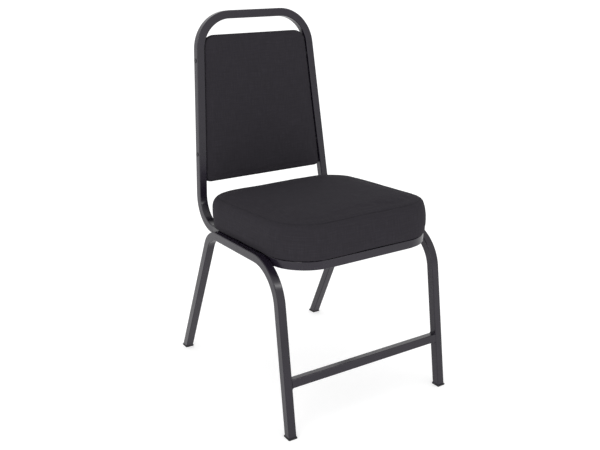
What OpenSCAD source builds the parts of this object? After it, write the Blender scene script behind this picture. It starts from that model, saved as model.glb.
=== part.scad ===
// Upholstered stacking chair: bent square tube frame, box cushion seat, padded back panel.
// Millimetres, +Z up, sitter faces -Y. The origin is on the floor, midway between the four feet.

/* [Overall size] */
// Height of the top of the back hoop
overall_h = 890; // [780:1:1080]
// Height of the seat rails' centreline, midway between the feet
rail_h = 380.3; // [320:0.1:460]
// Distance from the front feet to the rear feet
feet_depth = 538; // [440:1:660]
// Distance between the two leg frames, midway between the feet
frame_w = 428.6; // [350:0.1:520]
// How far each leg frame turns inwards towards the back, in degrees
toe_in = 1.07; // [0:0.01:3]
// How far the seat rises towards the front, in degrees
seat_rise = 1.95; // [0:0.05:5]

/* [Steel tube] */
// Outside width of the square tube
tube_w = 20; // [16:0.5:25]
// Wall of the square tube
tube_wall = 1.5; // [1:0.1:2.5]
// Outside corner radius of the square tube
tube_corner_r = 2; // [1.6:0.1:4]
// Gap between the seat ring and each leg frame, bridged by welds
rail_gap = 1.5; // [0.5:0.1:4]

/* [Legs] */
// Backward lean of the front legs, in degrees
front_rake = 7.97; // [0:0.01:14]
// Forward lean of the rear legs, in degrees
rear_rake = 24.94; // [12:0.01:30]
// Bend radius at the top of the front legs
front_bend_r = 95; // [40:1:110]
// Bend radius at the top of the rear legs
rear_bend_r = 62; // [30:1:90]
// Height of the front stretcher's centreline
stretcher_h = 124.6; // [60:0.1:220]

/* [Back hoop] */
// Distance from the middle of the feet back to the uprights, at rail height
back_y = 189.7; // [150:0.1:240]
// Backward lean of the uprights, in degrees
back_recline = 6.05; // [0:0.05:14]
// Inward lean of each upright, in degrees
back_taper = 4.15; // [0:0.05:7]
// Bend radius of the hoop's top corners
hoop_top_r = 86; // [50:1:110]
// Bend radius where the uprights run into the seat rails
hoop_low_r = 80; // [60:1:110]

/* [Seat ring] */
// Distance from the middle of the feet forward to the front rail
front_rail_y = 251.5; // [220:0.5:290]
// Bend radius of the ring's front corners
ring_corner_r = 86; // [40:1:120]
// Place of the front brace under the seat, behind the front rail
brace_front_gap = 100; // [70:1:130]
// Place of the rear brace under the seat, behind the front rail
brace_rear_gap = 330; // [250:1:340]

/* [Seat cushion] */
// Overhang of the cushion in front of the front rail's face
seat_overhang = 0.5; // [0:0.5:10]
// Length of the cushion from front to back
seat_depth = 420; // [380:1:440]
// How far the cushion's front corners stand inside the leg frames' centrelines
seat_front_margin = 5.3; // [0:0.1:20]
// How far the cushion's rear corners stand inside the leg frames' centrelines
seat_rear_margin = 5.3; // [3:0.1:25]
// Corner radius of the cushion at the front
seat_front_corner_r = 98; // [70:1:130]
// Corner radius of the cushion at the back
seat_rear_corner_r = 93; // [75:1:130]
// Height of the cushion's side, at the middle of the seat
seat_side_h = 76; // [50:0.5:110]
// How much more the cushion's top rises towards the front, in degrees
seat_wedge = 1.15; // [0:0.05:3]
// Radius of the cushion's top edge
seat_edge_r = 20; // [8:1:35]
// Height of the crown above the top edge
seat_crown = 8; // [0:1:25]
// Thickness of the plywood seat board
seat_board_t = 12; // [9:0.5:15]
// How far the cover's hem reaches past its staples, under the board
hem_margin = 4; // [3:0.5:12]

/* [Back pad] */
// Gap between the pad and the uprights on each side
pad_gap = 1.5; // [1:0.1:5]
// Height of the pad's lower edge above the rails, along the uprights
pad_low = 94; // [88:1:150]
// Gap between the pad and the underside of the hoop's top tube
pad_hand_gap = 37; // [25:1:90]
// Depth of the pad from its flat rear face to the front edge
pad_depth = 17; // [16:0.5:30]
// Height of the crown on the pad's front face
pad_crown = 9; // [0:0.5:14]
// Corner radius at the pad's lower corners
pad_low_corner_r = 13; // [8:1:30]
// Corner radius at the pad's upper corners, as a share of what stays parallel to the hoop
pad_top_corner_share = 0.8; // [0.78:0.01:1]
// Thickness of the plywood back board
back_board_t = 12; // [11:0.5:15]

/* [Covers] */
// Thickness of the fabric cover
fabric_t = 1.2; // [0.8:0.1:2]
// Thickness of the woven lining under the seat
lining_t = 0.8; // [0.5:0.1:1.2]
// Clearance between a soft piece and what it rests on
soft_gap = 0.2; // [0.1:0.05:0.5]

/* [Feet] */
// Thickness of the plastic foot below the tube
foot_t = 3; // [2:0.5:6]
// How far the foot stands out around the tube
foot_lip = 1.2; // [0.5:0.1:3]
// Length of the plug inside the tube
plug_len = 20; // [12:1:35]
// Clearance between the plug and the tube's wall
plug_gap = 0.1; // [0.05:0.05:0.4]

/* [Fasteners] */
// Shank radius of the seat screws
seat_screw_r = 3; // [2.5:0.1:4]
// Shank radius of the back screws
back_screw_r = 2.5; // [2:0.1:3]
// Clearance of a screw in its hole
screw_gap = 0.3; // [0.1:0.05:0.6]
// Distance of the seat screws from the middle of the seat
seat_screw_x = 120; // [60:1:150]
// Height of the lower back screws above the pad's lower edge, along the uprights
back_screw_low_gap = 72; // [35:1:110]
// Depth of the upper back screws below the pad's upper edge, along the uprights
back_screw_top_gap = 60; // [45:1:110]

/* [Hidden] */

$fn = 48;
reach = 2000;

steel_black = [0.13, 0.13, 0.14];
fabric_black = [0.20, 0.20, 0.21];
plastic_black = [0.06, 0.06, 0.06];
lining_black = [0.09, 0.09, 0.10];
foam_yellow = [0.86, 0.80, 0.62];
ply_brown = [0.72, 0.55, 0.36];
zinc = [0.75, 0.76, 0.78];

tube_inner_w = tube_w - 2 * tube_wall;
tube_inner_corner_r = max(tube_corner_r - tube_wall, 0.3);
leg_half = frame_w / 2;
ring_offset = (tube_w + rail_gap) / cos(toe_in);

// Half width of the seat ring's centreline at a place along the seat
function ring_half(y) = leg_half - ring_offset - tan(toe_in) * y;

// The bend that turns each upright into a seat rail
low_turn = 90 - back_recline + seat_rise;
low_drop = hoop_low_r * sin(low_turn);
low_run = hoop_low_r * (1 - cos(low_turn));
hoop_start = low_drop * cos(back_taper) - low_run * tan(back_recline - seat_rise)
  - back_y * sin(seat_rise) / cos(back_recline - seat_rise);
ring_end_y = back_y + hoop_start * sin(back_recline)
  - low_drop * cos(back_taper) * sin(back_recline) - low_run * cos(back_recline);
hoop_half = ring_half(ring_end_y) + tan(back_taper) * hoop_start - low_drop * sin(back_taper);

// Half width of the hoop's centreline at a height along the uprights
function hoop_x(t) = hoop_half - tan(back_taper) * t;

tube_rise = (tube_w / 2 - tube_corner_r) * (cos(back_recline) + sin(back_recline)) + tube_corner_r;
hoop_top = (overall_h - rail_h - tube_rise) / cos(back_recline);

foot_centre_z = foot_t / 2;

// Levels above the ring's centre plane, from the tube's top up through the cushion
lining_z = tube_w / 2 + soft_gap;
hem_z = lining_z + lining_t + soft_gap;
board_z = hem_z + fabric_t;
cushion_top = hem_z + seat_side_h;

seat_front_half = leg_half - seat_front_margin;
seat_rear_half = leg_half - seat_rear_margin;
seat_front_y = -(front_rail_y + tube_w / 2 + seat_overhang);
seat_rear_y = seat_front_y + seat_depth;
brace_y = [-front_rail_y + brace_front_gap, -front_rail_y + brace_rear_gap];

pad_top_corner_r = pad_top_corner_share * (hoop_top_r - tube_w / 2 - pad_hand_gap);
pad_top = hoop_top - tube_w / 2 - pad_hand_gap;
pad_rear = -tube_w / 2 + 1;
back_board_n = pad_rear + fabric_t + soft_gap;
back_screw_n = back_board_n + back_board_t / 2;
back_screw_t = [pad_low + back_screw_low_gap, pad_top - back_screw_top_gap];

washer_t = 1.6;
washer_r = 8;
screw_head_h = 4.2;
screw_head_r = 5.4;
tee_flange_r = 9.5;
tee_flange_t = 1.5;
tee_barrel_r = 4.2;
tee_barrel_len = 8;
back_head_r = 5;
back_head_h = 1.2;
insert_r = 4;
insert_len = 16;
spacer_r = 7;
staple_w = 10;
staple_wire = 0.9;
staple_leg = 6;
staple_pitch = 60;
bead = 3.5;

// ---- frames of reference ----

// The plane of one leg frame, side 1 on the right and -1 on the left
module at_leg(side) {
  translate([side * leg_half, 0, 0]) rotate([0, 0, side * toe_in]) children();
}

// The plane of the seat ring
module at_seat() {
  translate([0, 0, rail_h]) rotate([-seat_rise, 0, 0]) children();
}

// The plane of the back hoop: x across, y up along the uprights, z forwards
module at_hoop() {
  translate([0, back_y, rail_h]) rotate([90 - back_recline, 0, 0]) children();
}

// A place on one upright: y up along the upright, z forwards
module at_upright(side, t) {
  at_hoop() translate([side * hoop_x(t), t, 0]) rotate([0, 0, side * back_taper]) children();
}

// ---- shared shapes ----

module rounded_square(w, r) {
  square([w, w - 2 * r], center = true);
  square([w - 2 * r, w], center = true);
  for (x = [-1, 1], y = [-1, 1]) {
    translate([x * (w / 2 - r), y * (w / 2 - r)]) circle(r);
  }
}

// Section of the tube, with its wall thinned by ease on both faces
module tube_section(ease = 0) {
  difference() {
    rounded_square(tube_w - 2 * ease, tube_corner_r - ease);
    rounded_square(tube_inner_w + 2 * ease, tube_inner_corner_r + ease);
  }
}

// How much a bend takes off the straight on each side of it
function bend_cut(r, turn) = r * tan(turn / 2);

// A bend's wall is a trace thinner than a straight's, which laps over it, as drawn tube is
bend_ease = 0.02;
bend_lap = 0.2;

// Straight tube along +X
module straight(len) {
  translate([-bend_lap, 0, 0]) rotate([90, 0, 90])
    linear_extrude(len + 2 * bend_lap) tube_section();
}

// Bend from +X towards +Y. Its children carry on from its end, along their own +X.
module bend(r, turn) {
  translate([0, r, 0]) {
    rotate([0, 0, -90]) rotate_extrude(angle = turn, $fn = 96)
      translate([r, 0]) tube_section(bend_ease);
    rotate([0, 0, turn - 90]) translate([r, 0, 0]) rotate([0, 0, 90]) children();
  }
}

// ---- outlines and lofts ----

corner_steps = 11;

function corner_arc(centre, r, from, to) =
  [for (k = [0 : corner_steps])
    let (a = from + (to - from) * k / corner_steps) centre + r * [cos(a), sin(a)]];

// Direction of the side between a low and a high corner, each given as [x, y, r]
function side_turn(low, high) =
  let (d = [high.x - low.x, high.y - low.y])
  acos((low.z - high.z) / norm(d)) - atan2(d.y, d.x);

// Outline round two low and two high corners, the same on both sides of the middle
function outline(low, high, inset) =
  let (
    turn = -side_turn(low, high),
    right = concat(
      corner_arc([low.x, low.y], low.z - inset, -90, turn),
      corner_arc([high.x, high.y], high.z - inset, turn, 90)
    ),
    last = len(right) - 1
  )
  concat(right, [for (k = [last : -1 : 0]) [-right[k].x, right[k].y]]);

function raised(flat, z) = [for (p = flat) [p.x, p.y, z]];
function leaned(ring, a) =
  [for (p = ring) [p.x, p.y * cos(a) + p.z * sin(a), p.z * cos(a) - p.y * sin(a)]];
function drawn_in(flat, k, middle) = [for (p = flat) [p.x * k, middle + (p.y - middle) * k]];

// Solid skin through rings of points: out of the first one's face, down and round to the last
module loft(rings) {
  m = len(rings[0]);
  last = len(rings) - 1;
  polyhedron(
    points = [for (ring = rings, p = ring) p],
    faces = concat(
      [[for (j = [m - 1 : -1 : 0]) j]],
      [for (i = [0 : last - 1], j = [0 : m - 1])
        [i * m + j, i * m + (j + 1) % m, (i + 1) * m + (j + 1) % m, (i + 1) * m + j]],
      [[for (j = [0 : m - 1]) last * m + j]]
    )
  );
}

// ---- frame ----

// A leg's centreline passes through the middle of its foot
function leg_line(y_foot, slope, z) = y_foot + slope * (z - foot_centre_z);
function rail_meet(y_foot, slope) =
  let (z = (rail_h - tan(seat_rise) * (y_foot - slope * foot_centre_z)) / (1 + tan(seat_rise) * slope))
  [leg_line(y_foot, slope, z), z];

front_slope = tan(front_rake);
rear_slope = -tan(rear_rake);
front_meet = rail_meet(-feet_depth / 2, front_slope);
rear_meet = rail_meet(feet_depth / 2, rear_slope);
front_turn = 90 - front_rake + seat_rise;
rear_turn = 90 - rear_rake - seat_rise;
front_cut = bend_cut(front_bend_r, front_turn);
rear_cut = bend_cut(rear_bend_r, rear_turn);
rail_run = norm(rear_meet - front_meet) - front_cut - rear_cut;

// The rail runs from the front bend to the rear bend, and a leg hangs from each
module leg_tube() {
  translate([0, front_meet.x, front_meet.y]) rotate([-seat_rise, 0, 0]) translate([0, front_cut, 0])
    rotate([-90, 0, 90]) {
      straight(rail_run);
      translate([rail_run, 0, 0]) bend(rear_bend_r, rear_turn)
        straight((rear_meet.y + tube_w) / cos(rear_rake) - rear_cut);
      mirror([1, 0, 0]) bend(front_bend_r, front_turn)
        straight((front_meet.y + tube_w) / cos(front_rake) - front_cut);
    }
}

module leg_frame(side) {
  color(steel_black) difference() {
    at_leg(side) leg_tube();
    translate([-reach / 2, -reach / 2, foot_t - reach]) cube([reach, reach, reach]);
  }
}

module leg_frame_left() { leg_frame(-1); }
module leg_frame_right() { leg_frame(1); }

top_turn = 90 - back_taper;
top_cut = bend_cut(hoop_top_r, top_turn);
top_run = 2 * (hoop_x(hoop_top) - top_cut);
upright_run = (hoop_top - hoop_start) / cos(back_taper) - top_cut;

// Half of the hoop from its top tube's end: corner, upright, and the bend into the seat rail
module hoop_arm() {
  bend(hoop_top_r, top_turn) {
    straight(upright_run);
    translate([upright_run, 0, 0]) rotate([-90, 0, 0]) bend(hoop_low_r, low_turn);
  }
}

module hoop_tube() {
  at_hoop() translate([0, hoop_top, 0]) rotate([180, 0, 0]) {
    translate([-top_run / 2, 0, 0]) {
      straight(top_run);
      translate([top_run, 0, 0]) hoop_arm();
    }
    mirror([1, 0, 0]) translate([top_run / 2, 0, 0]) hoop_arm();
  }
}

// Cylinder through an upright at each back screw, along the screw's own line
module back_screw_bars(side, r, from_x, len) {
  for (t = back_screw_t) {
    at_upright(side, t) translate([side * from_x, 0, back_screw_n])
      rotate([0, side * 90, 0]) cylinder(h = len, r = r);
  }
}

module back_hoop() {
  color(steel_black) difference() {
    hoop_tube();
    for (side = [-1, 1]) back_screw_bars(side, back_screw_r + screw_gap, -tube_w, 2 * tube_w);
  }
}

// Everything behind the end of the lower bend, where the hoop is welded to the seat ring
module behind_hoop_end(side) {
  at_upright(side, hoop_start) translate([0, 0, hoop_low_r]) rotate([180 - low_turn, 0, 0])
    translate([-tube_w, -3 * tube_w, hoop_low_r - 2 * tube_w])
      cube([2 * tube_w, 3 * tube_w, 4 * tube_w]);
}

ring_turn = 90 + toe_in;
ring_cut = bend_cut(ring_corner_r, ring_turn);
front_run = 2 * (ring_half(-front_rail_y) - ring_cut);
side_run = (front_rail_y + ring_end_y + tube_w) / cos(toe_in) - ring_cut;

module seat_ring() {
  color(steel_black) difference() {
    at_seat() translate([-front_run / 2, -front_rail_y, 0]) {
      straight(front_run);
      translate([front_run, 0, 0]) bend(ring_corner_r, ring_turn) straight(side_run);
      mirror([1, 0, 0]) bend(ring_corner_r, ring_turn) straight(side_run);
    }
    for (side = [-1, 1]) behind_hoop_end(side);
  }
}

// Everything outside the inner face of each leg frame
module outside_legs() {
  for (side = [-1, 1]) {
    at_leg(side) translate([side > 0 ? -tube_w / 2 : tube_w / 2 - reach, -reach / 2, -reach / 2])
      cube(reach);
  }
}

stretcher_y = leg_line(-feet_depth / 2, front_slope, stretcher_h);

module at_stretcher() {
  translate([0, stretcher_y, stretcher_h]) rotate([-front_rake, 0, 0]) children();
}

module front_stretcher() {
  color(steel_black) difference() {
    at_stretcher() rotate([0, 90, 0]) linear_extrude(frame_w + tube_w, center = true) tube_section();
    outside_legs();
  }
}

// Everything outside the inner faces of the seat ring's side rails
module outside_ring() {
  for (side = [-1, 1]) {
    at_seat() translate([side * ring_half(0), 0, 0]) rotate([0, 0, side * toe_in])
      translate([side > 0 ? -tube_w / 2 : tube_w / 2 - reach, -reach / 2, -reach / 2]) cube(reach);
  }
}

module seat_brace(y) {
  color(steel_black) difference() {
    at_seat() translate([0, y, 0]) rotate([0, 90, 0])
      linear_extrude(frame_w, center = true) tube_section();
    outside_ring();
    at_seat() for (side = [-1, 1]) {
      translate([side * seat_screw_x, y, -tube_w])
        cylinder(h = 2 * tube_w, r = seat_screw_r + screw_gap);
    }
  }
}

module seat_brace_front() { seat_brace(brace_y[0]); }
module seat_brace_rear() { seat_brace(brace_y[1]); }

// Fillet weld in the corner between two faces: x and y run along the faces, z along the weld
module fillet_bead(len) {
  linear_extrude(len, center = true) polygon([[0, 0], [bead, 0], [0, bead]]);
}

flat_w = tube_w - 2 * tube_corner_r;

module stretcher_beads() {
  for (side = [-1, 1], up = [-1, 1]) {
    inner_x = leg_half - tan(toe_in) * stretcher_y - tube_w / 2 / cos(toe_in);
    translate([side * inner_x, stretcher_y, stretcher_h]) rotate([0, 0, side * toe_in])
      rotate([-front_rake, 0, 0]) translate([0, 0, up * tube_w / 2])
        mirror([side > 0 ? 1 : 0, 0, 0]) mirror([0, 0, up > 0 ? 0 : 1])
          rotate([90, 0, 0]) fillet_bead(flat_w);
  }
}

module brace_beads() {
  for (side = [-1, 1], y = brace_y, front = [-1, 1]) {
    inner_x = ring_half(y) - tube_w / 2 / cos(toe_in);
    at_seat() translate([side * inner_x, y + front * tube_w / 2, 0]) rotate([0, 0, side * toe_in])
      mirror([side > 0 ? 1 : 0, 0, 0]) mirror([0, front > 0 ? 0 : 1, 0]) fillet_bead(flat_w);
  }
}

// Welds that fill the gap between the ring and the leg frames at three places on each side
stitch_len = 30;
stitch_y = [-120, -20, 70];

module stitch_beads() {
  for (side = [-1, 1], y = stitch_y) {
    at_leg(side) translate([-side * (tube_w + rail_gap) / 2, y, rail_h - tan(seat_rise) * y])
      rotate([-seat_rise, 0, 0]) cube([rail_gap, stitch_len, flat_w], center = true);
  }
}

module weld_beads() {
  color(steel_black) {
    stretcher_beads();
    brace_beads();
    stitch_beads();
  }
}

// ---- feet ----

module foot(side, y_foot, slope) {
  rake = atan(slope);
  plug_w = tube_inner_w - 2 * plug_gap;
  length = tube_w / cos(rear_rake) + 2 * foot_lip;
  width = tube_w + 2 * foot_lip;
  color(plastic_black) at_leg(side) translate([0, y_foot, 0]) {
    linear_extrude(foot_t) {
      square([width, length - 2 * tube_corner_r], center = true);
      square([width - 2 * tube_corner_r, length], center = true);
      for (x = [-1, 1], y = [-1, 1]) {
        translate([x * (width / 2 - tube_corner_r), y * (length / 2 - tube_corner_r)])
          circle(tube_corner_r);
      }
    }
    difference() {
      translate([0, 0, foot_centre_z]) rotate([-rake, 0, 0]) translate([0, 0, -tube_w / 2])
        linear_extrude(plug_len + tube_w / 2) square(plug_w, center = true);
      translate([-tube_w, -tube_w, foot_centre_z - 2 * tube_w]) cube(2 * tube_w);
    }
  }
}

module foot_front_left() { foot(-1, -feet_depth / 2, front_slope); }
module foot_front_right() { foot(1, -feet_depth / 2, front_slope); }
module foot_rear_left() { foot(-1, feet_depth / 2, rear_slope); }
module foot_rear_right() { foot(1, feet_depth / 2, rear_slope); }

// ---- seat ----

seat_front_corner = [
  seat_front_half - seat_front_corner_r, seat_front_y + seat_front_corner_r, seat_front_corner_r
];
seat_rear_corner = [
  seat_rear_half - seat_rear_corner_r, seat_rear_y - seat_rear_corner_r, seat_rear_corner_r
];

// Outline of the cushion, inset all round
function seat_flat(inset) = outline(seat_front_corner, seat_rear_corner, inset);

module seat_outline(inset) {
  polygon(seat_flat(inset));
}

hem_round = 5;
// The staples stand just inside the seat ring, and the hem ends just inside the staples
staple_line = 1.5 * tube_w + rail_gap - min(seat_front_margin, seat_rear_margin) + 4;
hem_inset = staple_line + hem_margin;
crown_scales = [0.5, 0.7, 0.82, 0.9, 0.96];
seat_middle_y = (seat_front_y + seat_rear_y) / 2;

// Rings of the cushion's crown and rounded top edge, made smaller by a skin thickness
function seat_top_rings(skin) = concat(
  [for (k = crown_scales)
    leaned(raised(drawn_in(seat_flat(seat_edge_r + skin), k, seat_middle_y),
      cushion_top + seat_crown * (1 - pow(k, 6)) - skin), seat_wedge)],
  [for (a = [90 : -22.5 : 0])
    leaned(raised(seat_flat(seat_edge_r * (1 - cos(a)) + skin),
      cushion_top - seat_edge_r * (1 - sin(a)) - skin * sin(a)), seat_wedge)]
);

// Rings of the cushion's side, down to its hem
function seat_side_rings(skin) = [
  raised(seat_flat(skin), hem_z + 3 * hem_round),
  raised(seat_flat(hem_round / 3 + skin), hem_z + hem_round / 2 + skin * 0.7),
  raised(seat_flat(hem_round + skin), hem_z + skin)
];

function reversed(list) = [for (i = [len(list) - 1 : -1 : 0]) list[i]];

module seat_screw_places() {
  for (side = [-1, 1], y = brace_y) translate([side * seat_screw_x, y, 0]) children();
}

board_inset = hem_round + fabric_t + 1;

module seat_board() {
  color(ply_brown) at_seat() difference() {
    translate([0, 0, board_z]) linear_extrude(seat_board_t) seat_outline(board_inset);
    seat_screw_places() translate([0, 0, board_z - 1])
      cylinder(h = seat_board_t + 2, r = tee_barrel_r);
  }
}

foam_z = board_z + soft_gap;

module seat_foam() {
  color(foam_yellow) at_seat() difference() {
    loft(concat(
      seat_top_rings(fabric_t + soft_gap),
      [raised(seat_flat(fabric_t + soft_gap), hem_z + 3 * hem_round),
       raised(seat_flat(hem_round / 3 + fabric_t + soft_gap), foam_z + hem_round / 2),
       raised(seat_flat(board_inset - 0.5), foam_z),
       raised(seat_flat(board_inset), foam_z),
       raised(seat_flat(board_inset), board_z + seat_board_t)]
    ));
    seat_screw_places() translate([0, 0, board_z + seat_board_t - 1])
      cylinder(h = 1 + tee_flange_t + soft_gap, r = tee_flange_r + soft_gap);
  }
}

module seat_cover() {
  color(fabric_black) at_seat() loft(concat(
    seat_top_rings(0),
    seat_side_rings(0),
    [for (z = [hem_z, hem_z + fabric_t]) raised(seat_flat(hem_inset), z)],
    reversed(concat(seat_top_rings(fabric_t), seat_side_rings(fabric_t)))
  ));
}

lining_inset = hem_round + 10;

module seat_underlining() {
  color(lining_black) at_seat() difference() {
    translate([0, 0, lining_z]) linear_extrude(lining_t) seat_outline(lining_inset);
    seat_screw_places() translate([0, 0, lining_z - 1])
      cylinder(h = lining_t + 2, r = seat_screw_r + screw_gap);
  }
}

module staple() {
  translate([-staple_w / 2, -staple_wire / 2, -staple_wire])
    cube([staple_w, staple_wire, staple_wire]);
  for (x = [-1, 1]) {
    translate([x * (staple_w - staple_wire) / 2 - staple_wire / 2, -staple_wire / 2, -staple_wire])
      cube([staple_wire, staple_wire, staple_wire + staple_leg]);
  }
}

// Staples run along the straight stretches of the lining, through it and the hem into the board
module seat_staples() {
  color(zinc) at_seat() translate([0, 0, lining_z]) {
    for (i = [-1 : 1]) {
      translate([i * staple_pitch, seat_front_y + staple_line, 0]) staple();
      translate([i * staple_pitch, seat_rear_y - staple_line, 0]) staple();
    }
    for (side = [-1, 1], i = [-2 : 1]) {
      y = i * staple_pitch;
      side_run = seat_depth - seat_front_corner_r - seat_rear_corner_r;
      lean = (seat_front_half - seat_rear_half) / side_run;
      x = seat_front_half - lean * (y - seat_front_y - seat_front_corner_r) - staple_line;
      translate([side * x, y, 0]) rotate([0, 0, 90]) staple();
    }
  }
}

module seat_screws() {
  head_z = -tube_w / 2 - washer_t - screw_head_h;
  color(zinc) at_seat() seat_screw_places() {
    translate([0, 0, head_z + screw_head_h])
      cylinder(h = tube_w + washer_t + board_z - tube_w / 2 + seat_board_t - 1, r = seat_screw_r);
    difference() {
      translate([0, 0, head_z]) cylinder(h = screw_head_h, r = screw_head_r);
      translate([0, 0, head_z - 1]) cylinder(h = 3, r = 2, $fn = 6);
    }
  }
}

module seat_washers() {
  color(zinc) at_seat() seat_screw_places() difference() {
    translate([0, 0, -tube_w / 2 - washer_t]) cylinder(h = washer_t, r = washer_r);
    translate([0, 0, -tube_w]) cylinder(h = tube_w, r = seat_screw_r + screw_gap);
  }
}

module seat_tee_nuts() {
  top = board_z + seat_board_t;
  color(zinc) at_seat() seat_screw_places() difference() {
    union() {
      translate([0, 0, top - tee_barrel_len]) cylinder(h = tee_barrel_len, r = tee_barrel_r);
      translate([0, 0, top]) cylinder(h = tee_flange_t, r = tee_flange_r);
    }
    translate([0, 0, top - tee_barrel_len - 1])
      cylinder(h = tee_barrel_len + tee_flange_t + 2, r = seat_screw_r);
  }
}

// ---- back ----

// Half width of the pad at a height along the uprights
function pad_half(t) = hoop_x(t) - tube_w / 2 / cos(back_taper) - pad_gap;

pad_top_half = pad_half(pad_top - pad_top_corner_r);
pad_low_half = pad_half(pad_low + pad_low_corner_r);
pad_low_corner = [
  pad_low_half - pad_low_corner_r / cos(back_taper), pad_low + pad_low_corner_r, pad_low_corner_r
];
pad_top_corner = [
  pad_top_half - pad_top_corner_r / cos(back_taper), pad_top - pad_top_corner_r, pad_top_corner_r
];

// Outline of the pad, inset all round
function pad_flat(inset) = outline(pad_low_corner, pad_top_corner, inset);

module pad_outline(inset) {
  polygon(pad_flat(inset));
}

pad_edge = 6;
pad_crown_scales = [0.15, 0.35, 0.55, 0.75, 0.9];

// Rings of the pad from its crown over the front edge and side to its flat rear
function pad_rings(skin) = concat(
  [for (k = pad_crown_scales)
    raised(drawn_in(pad_flat(pad_edge + skin), k, (pad_low + pad_top) / 2),
      pad_rear + pad_depth + pad_crown * (1 - k * k) - skin)],
  [for (a = [90 : -30 : 0])
    raised(pad_flat(pad_edge * (1 - cos(a)) + skin),
      pad_rear + pad_depth - pad_edge * (1 - sin(a)) - skin * sin(a))],
  [raised(pad_flat(skin), pad_rear + 2), raised(pad_flat(2 + skin), pad_rear + skin)]
);

back_board_inset = 4;

module back_board_blank() {
  translate([0, 0, back_board_n]) linear_extrude(back_board_t) pad_outline(back_board_inset);
}

// How far the side of the pad stands inside the upright's centreline
pad_side_x = tube_w / 2 + pad_gap;
back_screw_len = pad_side_x + insert_len + tube_w / 2;

module back_board() {
  color(ply_brown) difference() {
    at_hoop() back_board_blank();
    for (side = [-1, 1]) back_screw_bars(side, insert_r, -pad_side_x - 30, 40);
  }
}

module back_foam() {
  foam_skin = fabric_t + soft_gap;
  outer = pad_rings(foam_skin);
  color(foam_yellow) difference() {
    at_hoop() loft(concat(
      [for (i = [0 : len(outer) - 3]) outer[i]],
      [raised(pad_flat(foam_skin), back_board_n + 1),
       raised(pad_flat(back_board_inset), back_board_n + 1),
       raised(pad_flat(back_board_inset), back_board_n + back_board_t)]
    ));
    for (side = [-1, 1]) back_screw_bars(side, insert_r + soft_gap, -pad_side_x - 10, 20);
  }
}

module back_cover() {
  color(fabric_black) difference() {
    at_hoop() difference() {
      loft(pad_rings(0));
      loft(pad_rings(fabric_t));
    }
    for (side = [-1, 1]) back_screw_bars(side, back_screw_r + screw_gap, -pad_side_x - 10, 20);
  }
}

module back_screws() {
  color(zinc) for (side = [-1, 1]) {
    back_screw_bars(side, back_screw_r, -pad_side_x - insert_len, back_screw_len);
    back_screw_bars(side, back_head_r, tube_w / 2, back_head_h);
  }
}

module back_spacers() {
  color(plastic_black) for (side = [-1, 1]) difference() {
    back_screw_bars(side, spacer_r, -pad_side_x, pad_gap);
    back_screw_bars(side, back_screw_r + screw_gap, -pad_side_x - 1, pad_gap + 2);
  }
}

module back_inserts() {
  color(zinc) for (side = [-1, 1]) difference() {
    back_screw_bars(side, insert_r, -pad_side_x - fabric_t - soft_gap - insert_len, insert_len);
    back_screw_bars(side, back_screw_r, -pad_side_x - 40, 60);
  }
}

back_hoop();
seat_ring();
leg_frame_left();
leg_frame_right();
front_stretcher();
seat_brace_front();
seat_brace_rear();
weld_beads();
foot_front_left();
foot_front_right();
foot_rear_left();
foot_rear_right();
seat_board();
seat_foam();
seat_cover();
seat_underlining();
seat_staples();
seat_screws();
seat_washers();
seat_tee_nuts();
back_board();
back_foam();
back_cover();
back_screws();
back_spacers();
back_inserts();
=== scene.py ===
import math

import bpy
import numpy as np
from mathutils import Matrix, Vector, noise


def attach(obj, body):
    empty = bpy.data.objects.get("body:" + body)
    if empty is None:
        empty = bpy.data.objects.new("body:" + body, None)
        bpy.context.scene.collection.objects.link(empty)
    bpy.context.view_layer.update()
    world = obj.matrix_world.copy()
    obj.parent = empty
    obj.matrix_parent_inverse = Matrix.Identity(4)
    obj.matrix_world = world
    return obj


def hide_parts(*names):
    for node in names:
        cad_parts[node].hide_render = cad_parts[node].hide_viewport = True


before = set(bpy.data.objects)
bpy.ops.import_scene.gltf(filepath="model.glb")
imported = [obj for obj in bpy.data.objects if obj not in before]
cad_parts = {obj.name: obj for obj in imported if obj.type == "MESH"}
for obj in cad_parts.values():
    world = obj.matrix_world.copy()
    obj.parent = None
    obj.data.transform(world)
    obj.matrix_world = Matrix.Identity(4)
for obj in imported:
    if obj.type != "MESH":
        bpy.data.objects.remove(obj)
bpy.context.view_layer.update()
scene = bpy.context.scene


def report(words):
    print("stage:", words)


def deselectAll():
    if bpy.context.mode != "OBJECT":
        bpy.ops.object.mode_set(mode="OBJECT")
    bpy.ops.object.select_all(action="DESELECT")


def makeActive(obj):
    deselectAll()
    obj.select_set(True)
    bpy.context.view_layer.objects.active = obj


def copyNode(nodeName, pieceName, mergeAt=0.00002):
    # a CAD node's mesh as a new piece, its loose triangles joined up
    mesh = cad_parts[nodeName].data.copy()
    mesh.name = pieceName
    piece = bpy.data.objects.new(pieceName, mesh)
    scene.collection.objects.link(piece)
    makeActive(piece)
    if mesh.has_custom_normals:
        bpy.ops.mesh.customdata_custom_splitnormals_clear()
    bpy.ops.object.mode_set(mode="EDIT")
    bpy.ops.mesh.select_all(action="SELECT")
    bpy.ops.mesh.remove_doubles(threshold=mergeAt)
    bpy.ops.object.mode_set(mode="OBJECT")
    return piece


def applyModifier(piece, kind, name, **values):
    makeActive(piece)
    modifier = piece.modifiers.new(name, kind)
    for key, value in values.items():
        setattr(modifier, key, value)
    bpy.ops.object.modifier_apply(modifier=modifier.name)


def readPoints(piece):
    points = np.zeros(len(piece.data.vertices) * 3)
    piece.data.vertices.foreach_get("co", points)
    return points.reshape(-1, 3)


def writePoints(piece, points):
    piece.data.vertices.foreach_set("co", np.ascontiguousarray(points, float).ravel())
    piece.data.update()


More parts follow.
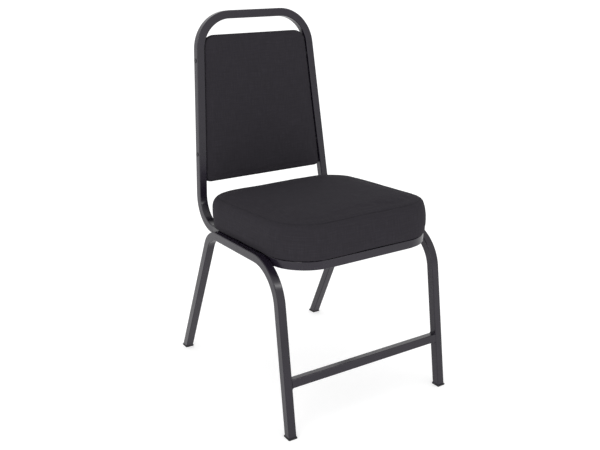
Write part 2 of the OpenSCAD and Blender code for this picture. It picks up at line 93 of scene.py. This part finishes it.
def readNormals(piece):
    normals = np.zeros(len(piece.data.vertices) * 3)
    piece.data.vertices.foreach_get("normal", normals)
    return normals.reshape(-1, 3)


def finishPiece(piece, material, slotName, *nodeNames):
    piece.data.materials.clear()
    piece.data.materials.append(material)
    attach(piece, "root")
    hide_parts(*nodeNames)
    return piece


def newMaterial(name, color, roughness, **values):
    material = bpy.data.materials.new(name)
    material.use_nodes = True
    shader = material.node_tree.nodes["Principled BSDF"]
    shader.inputs["Base Color"].default_value = (*color, 1)
    shader.inputs["Roughness"].default_value = roughness
    for key, value in values.items():
        shader.inputs[key].default_value = value
    return material, material.node_tree.nodes, material.node_tree.links, shader


def addNode(nodes, kind, **values):
    made = nodes.new(kind)
    for key, value in values.items():
        if key in made.inputs:
            made.inputs[key].default_value = value
        else:
            setattr(made, key, value)
    return made


def objectPlace(nodes, links, scale=(1, 1, 1), turn=(0, 0, 0)):
    place = addNode(nodes, "ShaderNodeTexCoord")
    mapping = addNode(nodes, "ShaderNodeMapping")
    mapping.inputs["Scale"].default_value = scale
    mapping.inputs["Rotation"].default_value = turn
    links.new(place.outputs["Object"], mapping.inputs["Vector"])
    return mapping.outputs["Vector"]


def ramp(nodes, links, source, stops):
    made = addNode(nodes, "ShaderNodeValToRGB")
    elements = made.color_ramp.elements
    while len(elements) < len(stops):
        elements.new(0.5)
    for element, (at, color) in zip(elements, stops):
        element.position = at
        element.color = (*color, 1)
    links.new(source, made.inputs["Fac"])
    return made.outputs["Color"]


def shade(color, factor):
    return tuple(min(1.0, c * factor) for c in color)


# tube and its coating
tube = {"paint": (0.0100, 0.0072, 0.0140), "roughness": 0.24, "peelScale": 520.0, "peelDepth": 0.00004,
        "smoothAngle": 32.0, "specular": 0.39}


def powderCoat():
    material, nodes, links, shader = newMaterial("satinPowderCoat", tube["paint"], tube["roughness"])
    shader.inputs["Specular IOR Level"].default_value = tube["specular"]
    place = objectPlace(nodes, links)
    drift = addNode(nodes, "ShaderNodeTexNoise", Scale=14.0, Detail=4.0, Roughness=0.6)
    links.new(place, drift.inputs["Vector"])
    links.new(ramp(nodes, links, drift.outputs["Fac"],
                   [(0.3, shade(tube["paint"], 0.86)), (0.7, shade(tube["paint"], 1.16))]),
              shader.inputs["Base Color"])
    peel = addNode(nodes, "ShaderNodeTexNoise", Scale=tube["peelScale"], Detail=2.0, Roughness=0.5)
    links.new(place, peel.inputs["Vector"])
    scuff = addNode(nodes, "ShaderNodeTexNoise", Scale=60.0, Detail=6.0, Roughness=0.7)
    links.new(place, scuff.inputs["Vector"])
    gloss = addNode(nodes, "ShaderNodeMapRange")
    gloss.inputs["From Min"].default_value = 0.3
    gloss.inputs["From Max"].default_value = 0.7
    gloss.inputs["To Min"].default_value = tube["roughness"] - 0.05
    gloss.inputs["To Max"].default_value = tube["roughness"] + 0.07
    links.new(scuff.outputs["Fac"], gloss.inputs["Value"])
    links.new(gloss.outputs["Result"], shader.inputs["Roughness"])
    bump = addNode(nodes, "ShaderNodeBump", Strength=0.35, Distance=tube["peelDepth"])
    links.new(peel.outputs["Fac"], bump.inputs["Height"])
    links.new(bump.outputs["Normal"], shader.inputs["Normal"])
    return material


def moulded(name, color, roughness, scale=700.0):
    material, nodes, links, shader = newMaterial(name, color, roughness)
    place = objectPlace(nodes, links)
    grain = addNode(nodes, "ShaderNodeTexNoise", Scale=scale, Detail=3.0, Roughness=0.6)
    links.new(place, grain.inputs["Vector"])
    dust = addNode(nodes, "ShaderNodeTexNoise", Scale=90.0, Detail=5.0, Roughness=0.7)
    links.new(place, dust.inputs["Vector"])
    links.new(ramp(nodes, links, dust.outputs["Fac"],
                   [(0.35, shade(color, 0.85)), (0.75, shade(color, 1.35))]), shader.inputs["Base Color"])
    bump = addNode(nodes, "ShaderNodeBump", Strength=0.3, Distance=0.0001)
    links.new(grain.outputs["Fac"], bump.inputs["Height"])
    links.new(bump.outputs["Normal"], shader.inputs["Normal"])
    return material


# fabric
cloth = {"color": (0.0264, 0.0242, 0.0291), "threads": 1100.0, "weaveDepth": 0.00012}


def weave(name, color):
    # plain weave on the piece's own unwrapped surface, with slub, and painted shade darkening the cloth along
    # the seam groove
    material, nodes, links, shader = newMaterial(name, color, 0.92)
    shader.inputs["Specular IOR Level"].default_value = 0.06
    shader.inputs["Sheen Weight"].default_value = 0.015
    shader.inputs["Sheen Roughness"].default_value = 0.5
    shader.inputs["Sheen Tint"].default_value = (0.55, 0.52, 0.60, 1)
    surface = addNode(nodes, "ShaderNodeUVMap", uv_map="clothMap")
    waves = []
    for axis in ("X", "Y"):
        wave = addNode(nodes, "ShaderNodeTexWave", wave_type="BANDS", bands_direction=axis,
                       Scale=cloth["threads"] / 6.2832, Distortion=0.6, Detail=1.0)
        wave.inputs["Detail Scale"].default_value = 3.0
        links.new(surface.outputs["UV"], wave.inputs["Vector"])
        waves.append(wave)
    over = addNode(nodes, "ShaderNodeMath", operation="MAXIMUM")
    links.new(waves[0].outputs["Fac"], over.inputs[0])
    links.new(waves[1].outputs["Fac"], over.inputs[1])
    slubs = []
    for scaleX, scaleY in ((26.0, 420.0), (420.0, 30.0)):
        stretch = addNode(nodes, "ShaderNodeMapping")
        stretch.inputs["Scale"].default_value = (scaleX, scaleY, 1)
        links.new(surface.outputs["UV"], stretch.inputs["Vector"])
        slub = addNode(nodes, "ShaderNodeTexNoise", Scale=1.0, Detail=3.0, Roughness=0.6)
        links.new(stretch.outputs["Vector"], slub.inputs["Vector"])
        slubs.append(slub)
    mixed = addNode(nodes, "ShaderNodeMath", operation="MULTIPLY")
    links.new(slubs[0].outputs["Fac"], mixed.inputs[0])
    links.new(slubs[1].outputs["Fac"], mixed.inputs[1])
    threadColor = ramp(nodes, links, mixed.outputs["Value"],
                       [(0.12, shade(color, 0.86)), (0.27, color), (0.45, shade(color, 1.2))])
    # painted shade: the cloth is darkened along the seam groove, where the fold falls in shadow
    seam = addNode(nodes, "ShaderNodeAttribute", attribute_name="paintedSeamShade")
    dark = addNode(nodes, "ShaderNodeMix", data_type="RGBA", blend_type="MULTIPLY")
    links.new(seam.outputs["Fac"], dark.inputs["Factor"])
    links.new(threadColor, dark.inputs["A"])
    dark.inputs["B"].default_value = (0.45, 0.45, 0.46, 1)
    links.new(dark.outputs["Result"], shader.inputs["Base Color"])
    fine = addNode(nodes, "ShaderNodeBump", Strength=0.55, Distance=cloth["weaveDepth"])
    links.new(over.outputs["Value"], fine.inputs["Height"])
    coarse = addNode(nodes, "ShaderNodeBump", Strength=0.4, Distance=0.0003)
    links.new(mixed.outputs["Value"], coarse.inputs["Height"])
    links.new(fine.outputs["Normal"], coarse.inputs["Normal"])
    links.new(coarse.outputs["Normal"], shader.inputs["Normal"])
    return material


paint = powderCoat()
footPlastic = moulded("mouldedPlastic", (0.013, 0.013, 0.014), 0.55)
seatCloth = weave("seatWeave", cloth["color"])
backCloth = weave("backWeave", cloth["color"])
report("materials made")


def tubePiece(nodeName):
    piece = copyNode(nodeName, nodeName + "_tube")
    makeActive(piece)
    bpy.ops.object.shade_smooth_by_angle(angle=math.radians(tube["smoothAngle"]))
    applyModifier(piece, "WEIGHTED_NORMAL", "flatFaces", keep_sharp=True, weight=80)
    return finishPiece(piece, paint, "frame_paint", nodeName)


for nodeName in ("back_hoop", "seat_ring", "leg_frame_left", "leg_frame_right", "front_stretcher",
                 "seat_brace_front", "seat_brace_rear", "weld_beads"):
    tubePiece(nodeName)
report("frame tubes coated")


def footPiece(nodeName):
    piece = copyNode(nodeName, nodeName + "_glide")
    applyModifier(piece, "BEVEL", "softEdge", width=0.0005, segments=2, limit_method="ANGLE",
                  angle_limit=math.radians(50))
    makeActive(piece)
    bpy.ops.object.shade_smooth_by_angle(angle=math.radians(35))
    return finishPiece(piece, footPlastic, "foot_plastic", nodeName)


for nodeName in ("foot_front_left", "foot_front_right", "foot_rear_left", "foot_rear_right"):
    footPiece(nodeName)
report("feet moulded")


# seat cushion, metres and degrees, with levels and places in the tilted seat's own frame
cushion = {
    "rise": 1.95, "wedge": 1.15, "sideHeight": 0.076, "edge": 0.020,
    "half": 0.209, "front": -0.262, "rear": 0.158, "frontCorner": 0.098, "rearCorner": 0.093,
    "voxel": 0.0055, "start": 0.0016, "over": 0.0, "pressure": 4.0, "frames": 20, "cap": 0.005,
    "heldHeight": 0.004, "seamAt": 0.024, "seamDepth": 0.0011, "seamWidth": 0.0028,
    "puff": 0.0009, "puffAt": 0.010, "puffWidth": 0.007, "seamShadeWidth": 0.0012, "seamShadeStrength": 0.5,
    "bulge": 0.0032, "rim": 0.0032, "rimHeight": 0.012, "drop": 0.0014,
    "slackScale": 9.0, "slack": 0.0011, "rippleScale": (26, 26, 60), "ripple": 0.00035, "fill": 0.85}

# back pad, metres and degrees
pad = {
    "recline": 6.05, "uprightPlace": 0.1897,
    "voxel": 0.0038, "start": 0.0006, "over": 0.0003, "pressure": 3.0, "frames": 20, "cap": 0.0028,
    "heldHeight": 0.004, "sideSwell": 0.0008,
    "slackScale": 8.0, "slack": 0.0009, "rippleScale": (30, 30, 30), "ripple": 0.0003, "fill": 0.8}

# how the covers behave as cloth while they are blown up
clothFeel = {"quality": 6, "mass": 0.3, "tension_stiffness": 25, "compression_stiffness": 25,
             "shear_stiffness": 12, "bending_stiffness": 0.4, "use_pressure": True}

# height of the seat tubes' centreline over the floor at the middle of the frame
railHeight = 0.3803


def puffed(nodeName, pieceName, settings, localFrame, heldBelow):
    # closed shell round the CAD cover, remeshed evenly, blown up as cloth by no more than the cap,
    # and then kept from sinking inside the cover's own form
    piece = copyNode(nodeName, pieceName)
    bpy.ops.object.mode_set(mode="EDIT")
    bpy.ops.mesh.select_all(action="SELECT")
    bpy.ops.mesh.convex_hull()
    bpy.ops.object.mode_set(mode="OBJECT")
    form = bpy.data.objects.new(pieceName + "_form", piece.data.copy())
    scene.collection.objects.link(form)
    piece.data.remesh_voxel_size = settings["voxel"]
    makeActive(piece)
    bpy.ops.object.voxel_remesh()
    applyModifier(piece, "SMOOTH", "even", factor=0.5, iterations=2)
    applyModifier(piece, "SHRINKWRAP", "ontoForm", target=form, wrap_method="NEAREST_SURFACEPOINT")
    piece.data.update()
    normals = readNormals(piece)
    outer = readPoints(piece)
    held = localFrame(outer)[:, 2] < heldBelow
    rest = outer - normals * settings["start"] * (~held)[:, None]
    writePoints(piece, rest)
    group = piece.vertex_groups.new(name="held")
    group.add([int(i) for i in np.nonzero(held)[0]], 1.0, "REPLACE")
    makeActive(piece)
    modifier = piece.modifiers.new("puff", "CLOTH")
    for key, value in clothFeel.items():
        setattr(modifier.settings, key, value)
    modifier.settings.uniform_pressure_force = settings["pressure"]
    modifier.settings.vertex_group_mass = "held"
    modifier.settings.effector_weights.gravity = 0
    modifier.point_cache.frame_start = 1
    modifier.point_cache.frame_end = settings["frames"]
    for step in range(1, settings["frames"] + 1):
        scene.frame_set(step)
    bpy.ops.object.modifier_apply(modifier=modifier.name)
    scene.frame_set(1)
    piece.vertex_groups.clear()
    moved = readPoints(piece) - rest
    length = np.linalg.norm(moved, axis=1)
    print(pieceName, "puffed by up to", round(float(length.max()) * 1000, 2), "mm, mean",
          round(float(length.mean()) * 1000, 2))
    writePoints(piece, rest + moved * np.minimum(1, settings["cap"] / np.maximum(length, 1e-9))[:, None])
    applyModifier(piece, "SMOOTH", "settle", factor=0.4, iterations=2)
    applyModifier(piece, "SHRINKWRAP", "overForm", target=form, wrap_method="NEAREST_SURFACEPOINT",
                  wrap_mode="OUTSIDE", offset=settings["over"])
    applyModifier(piece, "SUBSURF", "finer", levels=1, render_levels=1)
    bpy.data.objects.remove(form)
    return piece


def unwrapByFace(piece):
    makeActive(piece)
    while piece.data.uv_layers:
        piece.data.uv_layers.remove(piece.data.uv_layers[0])
    piece.data.uv_layers.new(name="clothMap")
    bpy.ops.object.mode_set(mode="EDIT")
    bpy.ops.mesh.select_all(action="SELECT")
    bpy.ops.uv.cube_project(cube_size=1.0, correct_aspect=False)
    bpy.ops.object.mode_set(mode="OBJECT")


def storeShade(piece, values):
    layer = piece.data.attributes.new("paintedSeamShade", "FLOAT", "POINT")
    layer.data.foreach_set("value", np.ascontiguousarray(values, np.float32))


def seatFrame(points):
    # seat's own frame: z square to the tilted seat ring, from its centreline
    a = math.radians(cushion["rise"])
    y, z = points[:, 1], points[:, 2] - railHeight
    return np.stack([points[:, 0], y * math.cos(a) - z * math.sin(a), y * math.sin(a) + z * math.cos(a)], 1)


def backFrame(points):
    # hoop's own frame: y up along the uprights, z forward of their centreline
    a = math.radians(90 - pad["recline"])
    y, z = points[:, 1] - pad["uprightPlace"], points[:, 2] - railHeight
    return np.stack([points[:, 0], y * math.cos(a) + z * math.sin(a), -y * math.sin(a) + z * math.cos(a)], 1)


def aroundEdge(local, hemLevel):
    # distance along the skin: 0 where the side meets the rounded edge, growing inwards over the top
    middle, length = (cushion["front"] + cushion["rear"]) / 2, (cushion["rear"] - cushion["front"]) / 2
    corner = np.where(local[:, 1] < middle, cushion["frontCorner"], cushion["rearCorner"])
    over = np.stack([np.abs(local[:, 0]) - cushion["half"] + corner,
                     np.abs(local[:, 1] - middle) - length + corner], 1)
    inset = corner - np.minimum(over.max(1), 0) - np.linalg.norm(np.maximum(over, 0), axis=1)
    edge = cushion["edge"]
    edgeStart = hemLevel + cushion["sideHeight"] - edge
    level = local[:, 2] + local[:, 1] * math.tan(math.radians(cushion["wedge"])) - edgeStart
    turn = np.arctan2(level, np.maximum(edge - inset, 0.0001))
    return np.where(inset > edge, edge * math.pi / 2 + inset - edge, np.where(level < 0, level, edge * turn))


def slackness(points, settings):
    # broad slack and fine ripple of a fitted cover, in metres at each point
    wide = [noise.noise(Vector(p) * settings["slackScale"]) for p in points]
    across, along, up = settings["rippleScale"]
    fine = [noise.noise(Vector((p[0] * across, p[1] * along, p[2] * up))) for p in points]
    return np.array(wide) * settings["slack"], np.array(fine) * settings["ripple"]


def makeCushion():
    seatPoints = seatFrame(np.array([v.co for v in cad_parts["seat_cover"].data.vertices]))
    hemLevel = seatPoints[:, 2].min()
    heldBelow = hemLevel + cushion["heldHeight"]
    piece = puffed("seat_cover", "seat_cushion", cushion, seatFrame, heldBelow)
    piece.data.update()
    points, normals = readPoints(piece), readNormals(piece)
    local = seatFrame(points)
    side = np.clip((1 - np.abs(normals[:, 2])) * 2, 0, 1)
    fromSeam = aroundEdge(local, hemLevel) - cushion["seamAt"]
    groove = -cushion["seamDepth"] * np.exp(-(fromSeam / cushion["seamWidth"]) ** 2)
    swell = cushion["puff"] * (np.exp(-((fromSeam - cushion["puffAt"]) / cushion["puffWidth"]) ** 2)
                               + np.exp(-((fromSeam + cushion["puffAt"]) / cushion["puffWidth"]) ** 2))
    up = (local[:, 2] - hemLevel) / (cushion["sideHeight"] - cushion["edge"] * 0.5)
    full = cushion["bulge"] * np.sin(math.pi * np.clip(up, 0, 1)) * side
    lowRim = np.clip(1 - (local[:, 2] - hemLevel) / cushion["rimHeight"], 0, 1) * side
    soft, ripple = slackness(points, cushion)
    upper = np.clip((local[:, 2] - heldBelow) / 0.01, 0, 1)
    outwards = (groove + swell + soft + ripple) * upper + full + cushion["rim"] * lowRim
    points = points + normals * outwards[:, None]
    points[:, 2] -= cushion["drop"] * lowRim
    writePoints(piece, points)
    # painted shade along the seam groove, kept on the points for the weave to darken the cloth there
    storeShade(piece, np.exp(-(fromSeam / cushion["seamShadeWidth"]) ** 2) * cushion["seamShadeStrength"])
    unwrapByFace(piece)
    makeActive(piece)
    bpy.ops.object.shade_smooth()
    finishPiece(piece, seatCloth, "seat_fabric", "seat_cover")


def padForward():
    a = math.radians(pad["recline"])
    return np.array([0, -math.cos(a), math.sin(a)])


def makePad():
    backPoints = backFrame(np.array([v.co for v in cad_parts["back_cover"].data.vertices]))
    rearLevel = backPoints[:, 2].min()
    piece = puffed("back_cover", "back_pad", pad, backFrame, rearLevel + pad["heldHeight"])
    piece.data.update()
    points, normals = readPoints(piece), readNormals(piece)
    soft, ripple = slackness(points, pad)
    # slack on the front only, while the sides swell a little towards both uprights
    facing = np.clip(normals @ padForward(), 0, 1)
    sideways = np.clip((np.abs(normals[:, 0]) - 0.3) / 0.5, 0, 1)
    points = points + normals * ((soft + ripple) * facing + pad["sideSwell"] * sideways)[:, None]
    writePoints(piece, points)
    # the pad gets no painted seam shade
    storeShade(piece, np.zeros(len(points)))
    unwrapByFace(piece)
    makeActive(piece)
    bpy.ops.object.shade_smooth()
    finishPiece(piece, backCloth, "back_fabric", "back_cover")


makeCushion()
report("seat cushion puffed")
makePad()
report("back pad puffed")


def openFoam():
    color = (0.80, 0.70, 0.42)
    material, nodes, links, shader = newMaterial("openCellFoam", color, 0.95)
    place = objectPlace(nodes, links)
    poresAndPitShade = addNode(nodes, "ShaderNodeTexVoronoi", Scale=650.0)
    links.new(place, poresAndPitShade.inputs["Vector"])
    # pores darkened in colour where the bump sinks them: painted shade in the pits
    links.new(ramp(nodes, links, poresAndPitShade.outputs["Distance"],
                   [(0.1, shade(color, 0.55)), (0.5, color)]), shader.inputs["Base Color"])
    bump = addNode(nodes, "ShaderNodeBump", Strength=0.6, Distance=0.0006)
    links.new(poresAndPitShade.outputs["Distance"], bump.inputs["Height"])
    links.new(bump.outputs["Normal"], shader.inputs["Normal"])
    return material


foam = openFoam()

# how far each foam block is drawn in from its CAD solid: along its normals, then as a share of its size
foamFit = {"seat_foam": (0.002, (0.955, 0.955, 0.88)), "back_foam": (0.0035, (0.96, 1, 0.96))}


def foamPiece(nodeName, backOff, squeeze):
    # smaller than the CAD block, so that none of it comes through the cover
    piece = copyNode(nodeName, nodeName + "_block")
    points = readPoints(piece) - readNormals(piece) * backOff
    middle = (points.min(0) + points.max(0)) / 2
    writePoints(piece, middle + (points - middle) * np.array(squeeze))
    makeActive(piece)
    bpy.ops.object.shade_smooth_by_angle(angle=math.radians(40))
    return finishPiece(piece, foam, "foam", nodeName)


for nodeName, (backOff, squeeze) in foamFit.items():
    foamPiece(nodeName, backOff, squeeze)
report("foam blocks made")


# camera
view = {"azimuth": -33.245, "elevation": 18.485, "distance": 2.0505,
        "target": (-0.0201, -0.00315, 0.3887), "lens": 50.0}

# light and floor
studio = {"skyStrength": 1.02, "floorTone": 0.72, "floorGlow": 0.44, "floorSize": 80.0,
          "keyPower": 19.0, "keySize": 1.8, "keyPlace": (-3.0, -1.4, 1.3),
          "edgePower": 12.0, "edgeSize": 0.3, "edgePlace": (-1.9, -1.5, 2.1),
          "rimPower": 10.0, "rimSize": 0.3, "rimPlace": (1.5, -2.4, 2.3),
          "fillPower": 10.0, "fillSize": 2.4, "fillPlace": (0.4, -3.4, 0.9)}


def makeStage():
    deselectAll()
    bpy.ops.mesh.primitive_plane_add(size=studio["floorSize"], location=(0, 0, 0))
    floor = bpy.context.object
    floor.name = "studio_floor"
    material, nodes, links, shader = newMaterial("paleFloor", (studio["floorTone"],) * 3, 0.9)
    shader.inputs["Specular IOR Level"].default_value = 0.0
    shader.inputs["Emission Color"].default_value = (1, 1, 1, 1)
    shader.inputs["Emission Strength"].default_value = studio["floorGlow"]
    floor.data.materials.append(material)
    sky = bpy.data.worlds.new("studioSky")
    sky.use_nodes = True
    sky.node_tree.nodes["Background"].inputs["Color"].default_value = (1, 1, 1, 1)
    sky.node_tree.nodes["Background"].inputs["Strength"].default_value = studio["skyStrength"]
    scene.world = sky
    for name in ("key", "fill", "edge", "rim"):
        lamp = bpy.data.lights.new(name + "Panel", "AREA")
        lamp.energy = studio[name + "Power"]
        lamp.size = studio[name + "Size"]
        holder = bpy.data.objects.new(name + "Panel", lamp)
        holder.location = studio[name + "Place"]
        holder.rotation_euler = (Vector((0, 0, 0.45)) - holder.location).to_track_quat("-Z", "Y").to_euler()
        # the two small panels only put a sheen on the tube edges
        holder.visible_diffuse = name in ("key", "fill")
        scene.collection.objects.link(holder)


def makeCamera():
    lens = bpy.data.cameras.new("mainCamera")
    lens.lens = view["lens"]
    lens.sensor_width = 36.0
    lens.clip_end = 200.0
    camera = bpy.data.objects.new("mainCamera", lens)
    a, e = math.radians(view["azimuth"]), math.radians(view["elevation"])
    back = Vector((math.sin(a) * math.cos(e), -math.cos(a) * math.cos(e), math.sin(e)))
    camera.location = Vector(view["target"]) + back * view["distance"]
    camera.rotation_euler = (-back).to_track_quat("-Z", "Y").to_euler()
    scene.collection.objects.link(camera)
    scene.camera = camera


# dust cloth under the seat
lining = {"color": (0.012, 0.012, 0.013), "strip": 0.014, "flatRim": 0.03, "sag": 0.0035, "thick": 0.0006}

# boards inside the seat and back
board = {"color": (0.60, 0.43, 0.26), "ply": 0.0015}


def dustCloth():
    # the lower face of the CAD sheet, cut into strips both ways so that it can hang slack between its staples
    nodeName = "seat_underlining"
    piece = copyNode(nodeName, "seat_dust_cloth")
    local = seatFrame(readPoints(piece))
    low, high = local.min(0), local.max(0)
    level = (low[2] + high[2]) / 2
    makeActive(piece)
    bpy.ops.object.mode_set(mode="EDIT")
    bpy.ops.mesh.select_mode(type="VERT")
    bpy.ops.mesh.select_all(action="DESELECT")
    bpy.ops.object.mode_set(mode="OBJECT")
    for index, vertex in enumerate(piece.data.vertices):
        vertex.select = bool(local[index, 2] > level)
    bpy.ops.object.mode_set(mode="EDIT")
    bpy.ops.mesh.delete(type="VERT")
    for axis in (0, 1):
        count = int((high[axis] - low[axis]) / lining["strip"])
        for step in range(1, count):
            place, across = [0, 0, 0], [0, 0, 0]
            place[axis] = low[axis] + (high[axis] - low[axis]) * step / count
            across[axis] = 1
            bpy.ops.mesh.select_all(action="SELECT")
            bpy.ops.mesh.bisect(plane_co=place, plane_no=across)
    bpy.ops.object.mode_set(mode="OBJECT")
    points = readPoints(piece)
    local = seatFrame(points)
    toEdge = np.minimum.reduce([local[:, 0] - low[0], high[0] - local[:, 0],
                                local[:, 1] - low[1], high[1] - local[:, 1]])
    slack = np.clip((toEdge - lining["flatRim"]) / 0.06, 0, 1)
    slack = slack * slack * (3 - 2 * slack)
    folds = np.array([noise.noise(Vector((p[0] * 9, p[1] * 9, 0.4))) for p in points])
    points[:, 2] -= slack * lining["sag"] * (0.6 + 0.4 * folds)
    writePoints(piece, points)
    applyModifier(piece, "SOLIDIFY", "clothThick", thickness=lining["thick"], offset=-1)
    makeActive(piece)
    bpy.ops.object.shade_smooth_by_angle(angle=math.radians(50))
    finishPiece(piece, nonWoven(), "lining", nodeName)


def nonWoven():
    color = lining["color"]
    material, nodes, links, shader = newMaterial("nonWovenBlack", color, 0.85)
    place = objectPlace(nodes, links)
    fibre = addNode(nodes, "ShaderNodeTexNoise", Scale=420.0, Detail=5.0, Roughness=0.75, Distortion=1.5)
    links.new(place, fibre.inputs["Vector"])
    links.new(ramp(nodes, links, fibre.outputs["Fac"],
                   [(0.3, shade(color, 0.6)), (0.75, shade(color, 2.2))]), shader.inputs["Base Color"])
    points = addNode(nodes, "ShaderNodeTexVoronoi", Scale=520.0)
    links.new(place, points.inputs["Vector"])
    bump = addNode(nodes, "ShaderNodeBump", Strength=0.5, Distance=0.00015)
    links.new(points.outputs["Distance"], bump.inputs["Height"])
    links.new(bump.outputs["Normal"], shader.inputs["Normal"])
    return material


def plywood(name, lean):
    # plies square to the board's own face, long grain running side to side
    color = board["color"]
    material, nodes, links, shader = newMaterial(name, color, 0.6)
    turn = (-math.radians(lean), 0, 0)
    grain = addNode(nodes, "ShaderNodeTexNoise", Scale=1.0, Detail=6.0, Roughness=0.65, Distortion=0.4)
    links.new(objectPlace(nodes, links, (6, 90, 90), turn), grain.inputs["Vector"])
    plies = addNode(nodes, "ShaderNodeTexWave", wave_type="BANDS", bands_direction="Z",
                    Scale=math.pi / (10 * board["ply"]), Distortion=0.15)
    links.new(objectPlace(nodes, links, (1, 1, 1), turn), plies.inputs["Vector"])
    layers = ramp(nodes, links, plies.outputs["Fac"], [(0.35, shade(color, 0.62)), (0.6, color)])
    streaks = ramp(nodes, links, grain.outputs["Fac"], [(0.3, (0.72, 0.68, 0.62)), (0.7, (1.0, 1.0, 1.0))])
    both = addNode(nodes, "ShaderNodeMix", data_type="RGBA", blend_type="MULTIPLY")
    both.inputs["Factor"].default_value = 1.0
    links.new(layers, both.inputs["A"])
    links.new(streaks, both.inputs["B"])
    links.new(both.outputs["Result"], shader.inputs["Base Color"])
    bump = addNode(nodes, "ShaderNodeBump", Strength=0.25, Distance=0.0002)
    links.new(grain.outputs["Fac"], bump.inputs["Height"])
    links.new(bump.outputs["Normal"], shader.inputs["Normal"])
    return material


def plated(name, color, roughness, metal):
    material, nodes, links, shader = newMaterial(name, color, roughness, Metallic=metal)
    place = objectPlace(nodes, links)
    bloom = addNode(nodes, "ShaderNodeTexNoise", Scale=180.0, Detail=5.0, Roughness=0.7)
    links.new(place, bloom.inputs["Vector"])
    links.new(ramp(nodes, links, bloom.outputs["Fac"],
                   [(0.3, shade(color, 0.72)), (0.7, shade(color, 1.12))]), shader.inputs["Base Color"])
    gloss = addNode(nodes, "ShaderNodeMapRange")
    gloss.inputs["To Min"].default_value = roughness - 0.1
    gloss.inputs["To Max"].default_value = roughness + 0.15
    links.new(bloom.outputs["Fac"], gloss.inputs["Value"])
    links.new(gloss.outputs["Result"], shader.inputs["Roughness"])
    return material


def coatNode(nodeName, material):
    # node keeps its own mesh and only takes a new finish
    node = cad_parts[nodeName]
    for place in node.material_slots:
        place.link = "OBJECT"
        place.material = material


dustCloth()
coatNode("seat_board", plywood("seatPlywood", cushion["rise"]))
coatNode("back_board", plywood("backPlywood", 90 - pad["recline"]))
zincSteel = plated("zincPlatedSteel", (0.62, 0.63, 0.66), 0.34, 1.0)
for nodeName in ("seat_staples", "seat_screws", "seat_washers", "seat_tee_nuts", "back_inserts"):
    coatNode(nodeName, zincSteel)
coatNode("back_screws", plated("blackenedSteel", (0.030, 0.030, 0.034), 0.42, 0.6))
coatNode("back_spacers", footPlastic)
report("boards, fixings and dust cloth finished")


makeStage()
makeCamera()
scene.view_settings.view_transform = "Standard"
report("stage and camera set")
